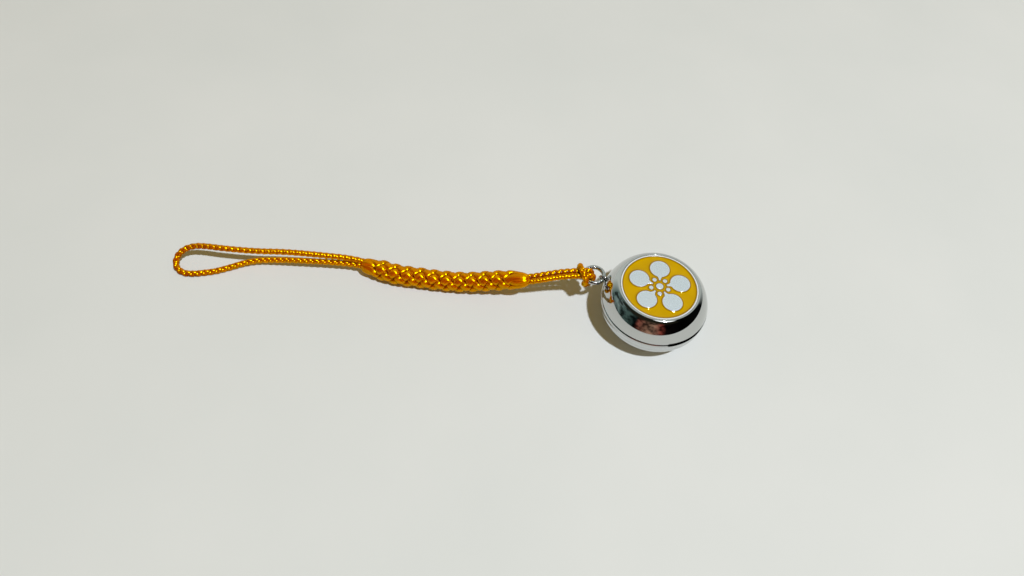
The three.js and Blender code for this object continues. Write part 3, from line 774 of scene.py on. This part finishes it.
all_outlines = [*outlines, *rim_outlines]
near_outline = kdtree.KDTree(sum(len(outline) for outline in all_outlines))
for i, point in enumerate(np.vstack(all_outlines)):
    near_outline.insert((*point, 0), i)
near_outline.balance()


def outline_distance(point):
    """How far a flat point is from the nearest point of any outline."""
    return near_outline.find((point[0], point[1], 0))[2]


drawing, drawing_edges = [], []
last_ring = MEDAL_RADIUS - METAL_DISTANCES[0] / 2
for outline in all_outlines:
    start = len(drawing)
    drawing += [tuple(p) for p in outline]
    drawing_edges += [(start + i, start + (i + 1) % len(outline)) for i in range(len(outline))]
for number, outline in enumerate(all_outlines):
    tangent = unit(np.roll(outline, -1, axis=0) - np.roll(outline, 1, axis=0))
    outward = np.column_stack([tangent[:, 1], -tangent[:, 0]])
    rim_side = -1 if number >= len(outlines) else 1
    for side, distances in ((rim_side, ENAMEL_DISTANCES), (-rim_side, METAL_DISTANCES)):
        for distance in distances:
            drawing += [
                tuple(p)
                for p in outline + outward * side * distance
                if outline_distance(p) > FREE_DISTANCE_SHARE * distance and np.hypot(*p) < last_ring
            ]
divided = delaunay_2d_cdt(
    [Vector(p) for p in drawing], drawing_edges, [], ALL_TRIANGLES, SAME_PLACE
)
flat_vertices = np.array([tuple(v) for v in divided[0]])
triangles = np.array(divided[2])


def inside(points, outline):
    """Which points lie inside an outline, by counting the edges to their right."""
    x, y = points[:, None, 0], points[:, None, 1]
    x0, y0 = outline[:, 0], outline[:, 1]
    x1, y1 = np.roll(outline, -1, axis=0).T
    crosses = (y0 > y) != (y1 > y)
    with np.errstate(divide="ignore", invalid="ignore"):
        meets = x0 + (y - y0) * (x1 - x0) / (y1 - y0)
    return (crosses & (x < meets)).sum(axis=1) % 2 == 1


middles = flat_vertices[triangles].mean(axis=1)
is_metal = np.hypot(*middles.T) > ENAMEL_RADIUS * math.cos(math.pi / len(rim_outlines[0]))
for outline in outlines:
    is_metal |= inside(middles, outline)
from_outline = np.array([outline_distance(p) for p in flat_vertices])
print(len(triangles), "triangles,", int(is_metal.sum()), "of them raised metal")

# %% [markdown]
# ## Struck metal
# The medal is probably brass, plated in silver after it was struck. The raised parts are left matt and
# finely speckled, and only the rim and the very edges of the petals are polished where they were
# rubbed. A shader of middling roughness, metallic in part only, gives the pale matt silver, fine
# noise the speckle, and the distance from the outline, kept with the mesh, tells where it is rubbed.

# %% Medal metal
SPECKLE_MM, SPECKLE_DEPTH_MM = 0.12, 0.02
RUBBED_MM, UNRUBBED_MM = 0.06, 0.1
medal_metal, metal_tree, metal_bsdf = new_material("matt struck silver plate", Metallic=0.65)
metal_place = add(metal_tree, "ShaderNodeTexCoord").outputs["Object"]
speckle_size = {"Scale": 1 / (SPECKLE_MM * MM), "Detail": 2.0}
speckle = add(metal_tree, "ShaderNodeTexNoise", speckle_size, {"Vector": metal_place})
edge_place = add(metal_tree, "ShaderNodeUVMap", {"uv_map": "flat_place"})
edge_parts = add(metal_tree, "ShaderNodeSeparateXYZ", links={"Vector": edge_place})
rubbed = add(
    metal_tree,
    "ShaderNodeMapRange",
    {"From Min": RUBBED_MM, "From Max": UNRUBBED_MM, "To Min": 1.0, "To Max": 0.0},
    {"Value": edge_parts},
)
polished = add(
    metal_tree, "ShaderNodeMath", {"operation": "MAXIMUM"}, {0: rubbed, 1: edge_parts.outputs[1]}
)
silver_stops = [(0.35, "#b9c1c4"), (0.65, "#e2eaed")]
silver = add(metal_tree, "ShaderNodeValToRGB", {"stops": silver_stops}, {"Fac": speckle})
metal_colour = add(
    metal_tree,
    "ShaderNodeMix",
    {"data_type": "RGBA", MIX_TO: linear("#ffffff")},
    {MIX_SHARE: polished, MIX_FROM: silver},
)
matt_to_bright = {"To Min": 0.5, "To Max": 0.14}
metal_roughness = add(metal_tree, "ShaderNodeMapRange", matt_to_bright, {"Value": polished})
speckled = {"Strength": 0.25, "Distance": SPECKLE_DEPTH_MM * MM}
struck = add(metal_tree, "ShaderNodeBump", speckled, {"Height": speckle})
link(
    metal_bsdf,
    {"Base Color": metal_colour.outputs[MIXED], "Roughness": metal_roughness, "Normal": struck},
)

# %% [markdown]
# ## Lifting the drawing
# A solid is made of sets of the drawing's triangles, each with its own heights, of the same
# triangles at the bottom, and of walls down from each set's edge. The highest set comes first.


# %% Crest plate
def solid_from_drawing(layers, bottom):
    """A closed solid from layers of triangles with heights, over a flat bottom, in mm."""
    base = len(layers)
    heights = [*(height for _, height in layers), np.full(len(flat_vertices), bottom)]
    vertices, faces, place_in_drawing = [], [], []
    numbers, owner = {}, {}

    def corner(layer, index):
        if (layer, index) not in numbers:
            numbers[layer, index] = len(vertices)
            vertices.append((*flat_vertices[index], heights[layer][index]))
            place_in_drawing.append(index)
        return numbers[layer, index]

    for layer, (chosen, _) in enumerate(layers):
        for triangle in triangles[chosen]:
            a, b, c = (int(i) for i in triangle)
            faces.append([corner(layer, i) for i in (a, b, c)])
            faces.append([corner(base, i) for i in (c, b, a)])
            for edge in ((a, b), (b, c), (c, a)):
                owner[edge] = layer
    for (a, b), layer in owner.items():
        beside = owner.get((b, a), base)
        if beside > layer:
            low = [corner(beside, i) for i in (b, a)]
            faces.append([corner(layer, a), low[1], low[0], corner(layer, b)])
    return np.array(vertices) * MM, faces, np.array(place_in_drawing)


MEDAL_CLEARANCE, BASE_THICKNESS, RELIEF_HEIGHT, RIM_MARGIN = 0.05, 0.2, 0.32, 0.01
medal_bottom = face_top - RECESS_DEPTH + MEDAL_CLEARANCE
medal_base_top = medal_bottom + BASE_THICKNESS
crest_top = medal_base_top + RELIEF_HEIGHT
into_edge = np.clip(EDGE_ROUND - from_outline, 0, EDGE_ROUND)
metal_height = crest_top - EDGE_ROUND + np.sqrt(EDGE_ROUND**2 - into_edge**2)
base_height = np.full(len(flat_vertices), medal_base_top)
crest_layers = [(is_metal, metal_height), (~is_metal, base_height)]
*crest_solid, crest_index = solid_from_drawing(crest_layers, medal_bottom)
on_rim = np.hypot(*flat_vertices[crest_index].T) > ENAMEL_RADIUS - RIM_MARGIN
crest_solid.append(np.column_stack([from_outline[crest_index], on_rim]))
make_piece("struck_crest", crest_solid, medal_metal, "bell", ["crest_plate"])

# %% [markdown]
# ## Enamel
# The yellow is hard enamel, a glass or resin poured into the hollows and left glossy. It wets the
# metal, so it climbs a little at every edge, and each petal carries a bright point below it where
# that slope mirrors the lamp. Along every outline its colour is darkened, a painted shade. Its
# specular level is low and tinted, so that the room doesn't wash out the yellow. Its surface is the
# drawing's triangles again, with a height that rises towards the outlines.

# %% Enamel material
CLOUD_MM, CLOUD_RIPPLE_MM, EDGE_SHADE_MM, EDGE_UNSHADED_MM = 2.5, 0.1, 0.06, 0.26
enamel, enamel_tree, enamel_bsdf = new_material(
    "poured yellow enamel",
    Roughness=0.06,
    IOR=1.5,
    Specular_IOR_Level=0.2,
    Specular_Tint=linear("#ffe680"),
)
enamel_place = add(enamel_tree, "ShaderNodeTexCoord").outputs["Object"]
cloud_size = {"Scale": 1 / (CLOUD_MM * MM), "Detail": 3.0}
cloud = add(enamel_tree, "ShaderNodeTexNoise", cloud_size, {"Vector": enamel_place})
pigment_stops = [(0.35, "#c39700"), (0.65, "#cb9e00")]
pigment = add(enamel_tree, "ShaderNodeValToRGB", {"stops": pigment_stops}, {"Fac": cloud})
edge_distance = add(enamel_tree, "ShaderNodeUVMap", {"uv_map": "flat_place"})
distance_parts = add(enamel_tree, "ShaderNodeSeparateXYZ", links={"Vector": edge_distance})
painted_edge_shade_range = {"From Min": EDGE_SHADE_MM, "From Max": EDGE_UNSHADED_MM}
away = add(enamel_tree, "ShaderNodeMapRange", painted_edge_shade_range, {"Value": distance_parts})
# painted shade: the enamel is darkened along every outline of the raised metal and the rim
enamel_with_painted_edge_shade = add(
    enamel_tree,
    "ShaderNodeMix",
    {"data_type": "RGBA", MIX_FROM: linear("#8a6400")},
    {MIX_SHARE: away, MIX_TO: pigment},
)
rippled = {"Strength": 0.05, "Distance": CLOUD_RIPPLE_MM * MM}
ripple = add(enamel_tree, "ShaderNodeBump", rippled, {"Height": cloud})
link(enamel_bsdf, {"Base Color": enamel_with_painted_edge_shade.outputs[MIXED], "Normal": ripple})

# %% Enamel field
ENAMEL_LEVEL_DROP, ENAMEL_CLIMB, ENAMEL_CLIMB_REACH, ENAMEL_GAP = 0.2, 0.18, 0.3, 0.03
climb = ENAMEL_CLIMB * np.exp(-((from_outline / ENAMEL_CLIMB_REACH) ** 2))
enamel_layers = [(~is_metal, crest_top - ENAMEL_LEVEL_DROP + climb)]
*enamel_solid, enamel_index = solid_from_drawing(enamel_layers, medal_base_top + ENAMEL_GAP)
enamel_solid.append(np.column_stack([from_outline[enamel_index], np.zeros(len(enamel_index))]))
make_piece("poured_enamel", enamel_solid, enamel, "bell", ["enamel_field"])

# %% [markdown]
# ## Eye and jump ring
# Both are bent from plated wire. The eye is one wire folded round a pin, with its two legs held in
# the seam. The jump ring is cut from a coil, so it has a fine slit, and it is turned so that the
# slit lies away from the cord. Drawing and bending leave small dents, which break up what it mirrors.

# %% Wire material
DRAWING_MARK_MM, DENT_MM = 0.4, 0.12
wire_plate, wire_tree, wire_bsdf = new_material(
    "bright plated wire", Base_Color=linear("#b8bab8"), Metallic=1.0
)
wire_place = add(wire_tree, "ShaderNodeTexCoord").outputs["Object"]
mark_size = {"Scale": 1 / (DRAWING_MARK_MM * MM), "Detail": 3.0}
drawing_marks = add(wire_tree, "ShaderNodeTexNoise", mark_size, {"Vector": wire_place})
wire_roughness = add(
    wire_tree,
    "ShaderNodeMapRange",
    {"From Min": 0.35, "From Max": 0.7, "To Min": 0.04, "To Max": 0.1},
    {"Value": drawing_marks},
)
dented = {"Strength": 0.9, "Distance": DENT_MM * MM}
dents = add(wire_tree, "ShaderNodeBump", dented, {"Height": drawing_marks})
link(wire_bsdf, {"Roughness": wire_roughness, "Normal": dents})

# %% Eye and ring
EYE_X, EYE_LEG_SPACING, EYE_LEG_SPLAY, EYE_LEG_CLEARANCE = -9.5, 0.44, 0.8, 0.12
EYE_LOOP_POINTS, EYE_SPACING, RING_PLACES = 17, 0.05, 160
RING_WIRE, RING_SLIT, RING_SLIT_DEGREES = 0.75, 0.12, 62.0

leg_half = EYE_LEG_SPACING / 2
leg_end_height = EYE_HEIGHT + leg_half + EYE_LEG_SPLAY
up_share = (leg_end_height + EYE_WIRE - widest) / (face_top - widest)
across_share = (1 - up_share ** (2 / BULGE_SHARE)) ** (BULGE_SHARE / 2)
wall_radius = FACE_RIM_RADIUS + (BELL_RADIUS - FACE_RIM_RADIUS) * across_share
leg_end = EYE_WIRE / 2 + EYE_LEG_CLEARANCE - min(wall_radius, skirt_radius) + SHEET
leg_bend = (leg_end - skirt_radius - SHEET / 2) / 2
neck = (EYE_X + EYE_LOOP_RADIUS - skirt_radius - SHEET / 2) / 2
upper_leg = [
    (leg_end, 0, leg_end_height),
    ((leg_bend + leg_end) / 2, 0, EYE_HEIGHT + leg_half + EYE_LEG_SPLAY / 4),
    (leg_bend, 0, EYE_HEIGHT + leg_half),
    (neck, 0, EYE_HEIGHT + leg_half),
]
eye_turn = np.radians(np.linspace(EYE_OPEN_DEGREES, 360 - EYE_OPEN_DEGREES, EYE_LOOP_POINTS))
eye_loop = [
    (EYE_X + EYE_LOOP_RADIUS * math.cos(a), 0, EYE_HEIGHT + EYE_LOOP_RADIUS * math.sin(a))
    for a in eye_turn
]
lower_leg = [(x, y, 2 * EYE_HEIGHT - z) for x, y, z in upper_leg[::-1]]
eye_line = smooth_line([*upper_leg, *eye_loop, *lower_leg], EYE_SPACING) * MM
bent_eye = swept(eye_line, EYE_WIRE / 2 * MM)
make_piece("bent_eye", bent_eye, wire_plate, "bell", ["hanger_eye"])

slit_half = RING_SLIT * MM / RING_RADIUS / 2
ring_turn = np.linspace(slit_half, 2 * np.pi - slit_half, RING_PLACES) + math.radians(RING_SLIT_DEGREES)
ring_circle = np.column_stack([np.cos(ring_turn), np.sin(ring_turn), np.zeros(RING_PLACES)])
ring_line = np.array(RING_CENTRE) + RING_RADIUS * ring_circle
bent_ring = swept(ring_line, RING_WIRE / 2 * MM)
make_piece("bent_ring", bent_ring, wire_plate, "jump_ring", ["jump_ring"])

# %% [markdown]
# ## The pellet
# A plain steel ball rolls loose inside and makes the bell sound. It hardly shows through the slot,
# so its solid from the frame stays and only gets a material: steel, tumbled and slightly dull.

# %% Pellet material
TUMBLING_MM = 0.3
steel, steel_tree, steel_bsdf = new_material("tumbled steel", Base_Color=linear("#a9abad"), Metallic=1.0)
steel_place = add(steel_tree, "ShaderNodeTexCoord").outputs["Object"]
tumbling_size = {"Scale": 1 / (TUMBLING_MM * MM), "Detail": 4.0}
tumbling = add(steel_tree, "ShaderNodeTexNoise", tumbling_size, {"Vector": steel_place})
steel_roughness = add(
    steel_tree,
    "ShaderNodeMapRange",
    {"From Min": 0.3, "From Max": 0.7, "To Min": 0.25, "To Max": 0.45},
    {"Value": tumbling},
)
link(steel_bsdf, {"Roughness": steel_roughness})
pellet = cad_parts["pellet"]
pellet.data.materials.clear()
pellet.data.materials.append(steel)
print("pellet:", len(pellet.data.polygons), "faces")

# %% [markdown]
# ## Table
# The charm lies on a pale, smooth table top. The picture needs a wide floor, but a mirror shows how
# far the real table reaches, and beyond its edge the room. So for mirrored rays the floor is clear
# from the table's edge on.

# %% Floor
FLOOR_HALF = 2.0
TABLE_EDGE, EDGE_BLUR_SHARE, MOTTLE_MM = 78 * MM, 0.05, 40
table_top, table_tree, table_bsdf = new_material("pale table top", Roughness=0.75)
table_place = add(table_tree, "ShaderNodeTexCoord").outputs["Object"]
mottle_size = {"Scale": 1 / (MOTTLE_MM * MM), "Detail": 4.0}
mottle = add(table_tree, "ShaderNodeTexNoise", mottle_size, {"Vector": table_place})
table_stops = [(0.3, "#dadad6"), (0.7, "#dfdeda")]
table_colour = add(table_tree, "ShaderNodeValToRGB", {"stops": table_stops}, {"Fac": mottle})
link(table_bsdf, {"Base Color": table_colour})
table_distance = add(
    table_tree, "ShaderNodeVectorMath", {"operation": "LENGTH"}, {"Vector": table_place}
)
edge_blur = {"From Min": TABLE_EDGE * (1 - EDGE_BLUR_SHARE), "From Max": TABLE_EDGE * (1 + EDGE_BLUR_SHARE)}
beyond_table = add(
    table_tree, "ShaderNodeMapRange", edge_blur, {"Value": table_distance.outputs["Value"]}
)
is_mirrored = add(table_tree, "ShaderNodeLightPath").outputs["Is Glossy Ray"]
clear_share = add(
    table_tree, "ShaderNodeMath", {"operation": "MULTIPLY"}, {0: beyond_table, 1: is_mirrored}
)
clear = add(table_tree, "ShaderNodeBsdfTransparent")
table_or_clear = add(table_tree, "ShaderNodeMixShader", links={0: clear_share, 1: table_bsdf, 2: clear})
link(table_tree.nodes["Material Output"], {"Surface": table_or_clear})
corners = [(x * FLOOR_HALF, y * FLOOR_HALF, 0) for x, y in ((-1, -1), (1, -1), (1, 1), (-1, 1))]
floor = plain_object("table", corners, [(0, 1, 2, 3)])
floor.data.materials.append(table_top)

# %% [markdown]
# ## Lamp
# One lamp stands high on the right, small enough to give a clear shadow with a slightly soft edge.
# Its power is worked out from the light that should reach the charm, in watts on a square metre.

# %% Lamp
TOWARDS_LAMP = Vector((0.3497, -0.1594, 0.9232))
LAMP_DISTANCE, LAMP_DEGREES, LAMP_POWER_DENSITY = 1.0, 3.0, 3.04
LAMP_COLOUR = (0.82, 0.9, 1.0)
lamp_data = bpy.data.lights.new("lamp", "AREA")
lamp_data.shape = "DISK"
lamp_data.size = 2 * LAMP_DISTANCE * math.tan(math.radians(LAMP_DEGREES / 2))
lamp_data.energy = LAMP_POWER_DENSITY * math.pi * LAMP_DISTANCE**2
lamp_data.color = LAMP_COLOUR
lamp = bpy.data.objects.new("lamp", lamp_data)
lamp.location = TOWARDS_LAMP * LAMP_DISTANCE
lamp.rotation_euler = TOWARDS_LAMP.to_track_quat("Z", "Y").to_euler()
scene.collection.objects.link(lamp)
print("lamp:", round(lamp_data.size / MM), "mm across,", round(lamp_data.energy, 2), "W")

# %% [markdown]
# ## Room
# The room adds a little warm light from everywhere, and the camera itself sees only a pale backdrop.
# A mirror shows the room. It is drawn here as a band of colours round the horizon, read like a
# compass from the strap's side by way of the camera's side: window light, a brown shelf, a dark
# corner and pale walls. The side behind the camera grows dark higher up.

# %% Room seen in mirrors
ROOM_BAND = [
    (0, "#607772"), (0.07, "#8a9c98"), (0.1, "#566a66"), (0.17, "#3c4f4a"), (0.2, "#0c1c1c"),
    (0.215, "#84483c"), (0.26, "#8e6854"), (0.3, "#ac846e"), (0.345, "#863c32"), (0.37, "#100a0a"),
    (0.45, "#030303"), (0.6, "#0a0d0d"), (0.66, "#c5ccc7"), (0.8, "#d1d6d1"), (0.93, "#d6dbd4"),
    (1, "#607772"),
]
CLUTTER_SCALE = 4.5

room = bpy.data.worlds.new("room")
scene.world = room
room.use_nodes = True
room_tree = room.node_tree
room_tree.nodes.clear()
looking = add(room_tree, "ShaderNodeTexCoord").outputs["Generated"]
looking_x, looking_y, looking_z = add(
    room_tree, "ShaderNodeSeparateXYZ", links={"Vector": looking}
).outputs
compass = add(room_tree, "ShaderNodeMath", {"operation": "ARCTAN2"}, {0: looking_y, 1: looking_x})
full_turn = {"From Min": -math.pi, "From Max": math.pi}
round_share = add(room_tree, "ShaderNodeMapRange", full_turn, {"Value": compass})
band = add(room_tree, "ShaderNodeValToRGB", {"stops": ROOM_BAND}, {"Fac": round_share})
behind_camera = add(
    room_tree,
    "ShaderNodeMapRange",
    {"interpolation_type": "SMOOTHSTEP", "From Min": -0.1, "From Max": -0.3},
    {"Value": looking_y},
)
high_up = add(
    room_tree,
    "ShaderNodeMapRange",
    {"interpolation_type": "SMOOTHSTEP", "From Min": 0.45, "From Max": 0.68},
    {"Value": looking_z},
)
dark_share = add(room_tree, "ShaderNodeMath", {"operation": "MULTIPLY"}, {0: behind_camera, 1: high_up})
clutter = add(room_tree, "ShaderNodeTexNoise", {"Scale": CLUTTER_SCALE, "Detail": 3.0}, {"Vector": looking})
clutter_light = add(
    room_tree,
    "ShaderNodeMapRange",
    {"From Min": 0.4, "From Max": 0.6, "To Min": 0.15, "To Max": 1.2},
    {"Value": clutter},
)
cluttered = add(
    room_tree, "ShaderNodeVectorMath", {"operation": "SCALE"}, {0: band, "Scale": clutter_light}
)
left_range = {"From Min": 0.42, "From Max": 0.38}
left_part = add(room_tree, "ShaderNodeMapRange", left_range, {"Value": round_share})
furnished = add(
    room_tree,
    "ShaderNodeMix",
    {"data_type": "RGBA"},
    {MIX_SHARE: left_part, MIX_FROM: band, MIX_TO: cluttered},
)
darkened = add(
    room_tree,
    "ShaderNodeMix",
    {"data_type": "RGBA", MIX_TO: linear("#26241a")},
    {MIX_SHARE: dark_share, MIX_FROM: furnished.outputs[MIXED]},
)
print("colours round the room:", len(ROOM_BAND))

# %% [markdown]
# Round the lamp the mirrored room glows. Then the three looks of the room are put together by the
# kind of ray that meets it: mirrored rays, straight ones from the camera or through clear things,
# and all others, which only carry light.

# %% Glow and world
GLOW_CORE_DEGREES, GLOW_DEGREES = 7, 16
GLOW_COLOUR, FILL_COLOUR, FILL_STRENGTH = (2.0, 2.0, 2.0, 1.0), (1.0, 0.78, 0.3, 1.0), 0.24
lamp_side = add(
    room_tree, "ShaderNodeVectorMath", {"operation": "DOT_PRODUCT", 1: TOWARDS_LAMP}, {0: looking}
)
glow_edge, glow_core = (math.cos(math.radians(a)) for a in (GLOW_DEGREES, GLOW_CORE_DEGREES))
glow = add(
    room_tree,
    "ShaderNodeMapRange",
    {"interpolation_type": "SMOOTHSTEP", "From Min": glow_edge, "From Max": glow_core},
    {"Value": lamp_side.outputs["Value"]},
)
room_colour = add(
    room_tree,
    "ShaderNodeMix",
    {"data_type": "RGBA", "blend_type": "ADD", MIX_TO: GLOW_COLOUR},
    {MIX_SHARE: glow, MIX_FROM: darkened.outputs[MIXED]},
)
mirrored = add(room_tree, "ShaderNodeBackground", links={"Color": room_colour.outputs[MIXED]})
seen = add(room_tree, "ShaderNodeBackground", {"Color": linear("#dfe0db")})
fill = add(room_tree, "ShaderNodeBackground", {"Color": FILL_COLOUR, "Strength": FILL_STRENGTH})
ray = add(room_tree, "ShaderNodeLightPath").outputs
straight = add(
    room_tree,
    "ShaderNodeMath",
    {"operation": "MAXIMUM"},
    {0: ray["Is Camera Ray"], 1: ray["Is Transmission Ray"]},
)
lit = add(room_tree, "ShaderNodeMixShader", links={0: ray["Is Glossy Ray"], 1: fill, 2: mirrored})
whole = add(room_tree, "ShaderNodeMixShader", links={0: straight, 1: lit, 2: seen})
add(room_tree, "ShaderNodeOutputWorld", links={"Surface": whole})
print("room:", len(room_tree.nodes), "nodes")
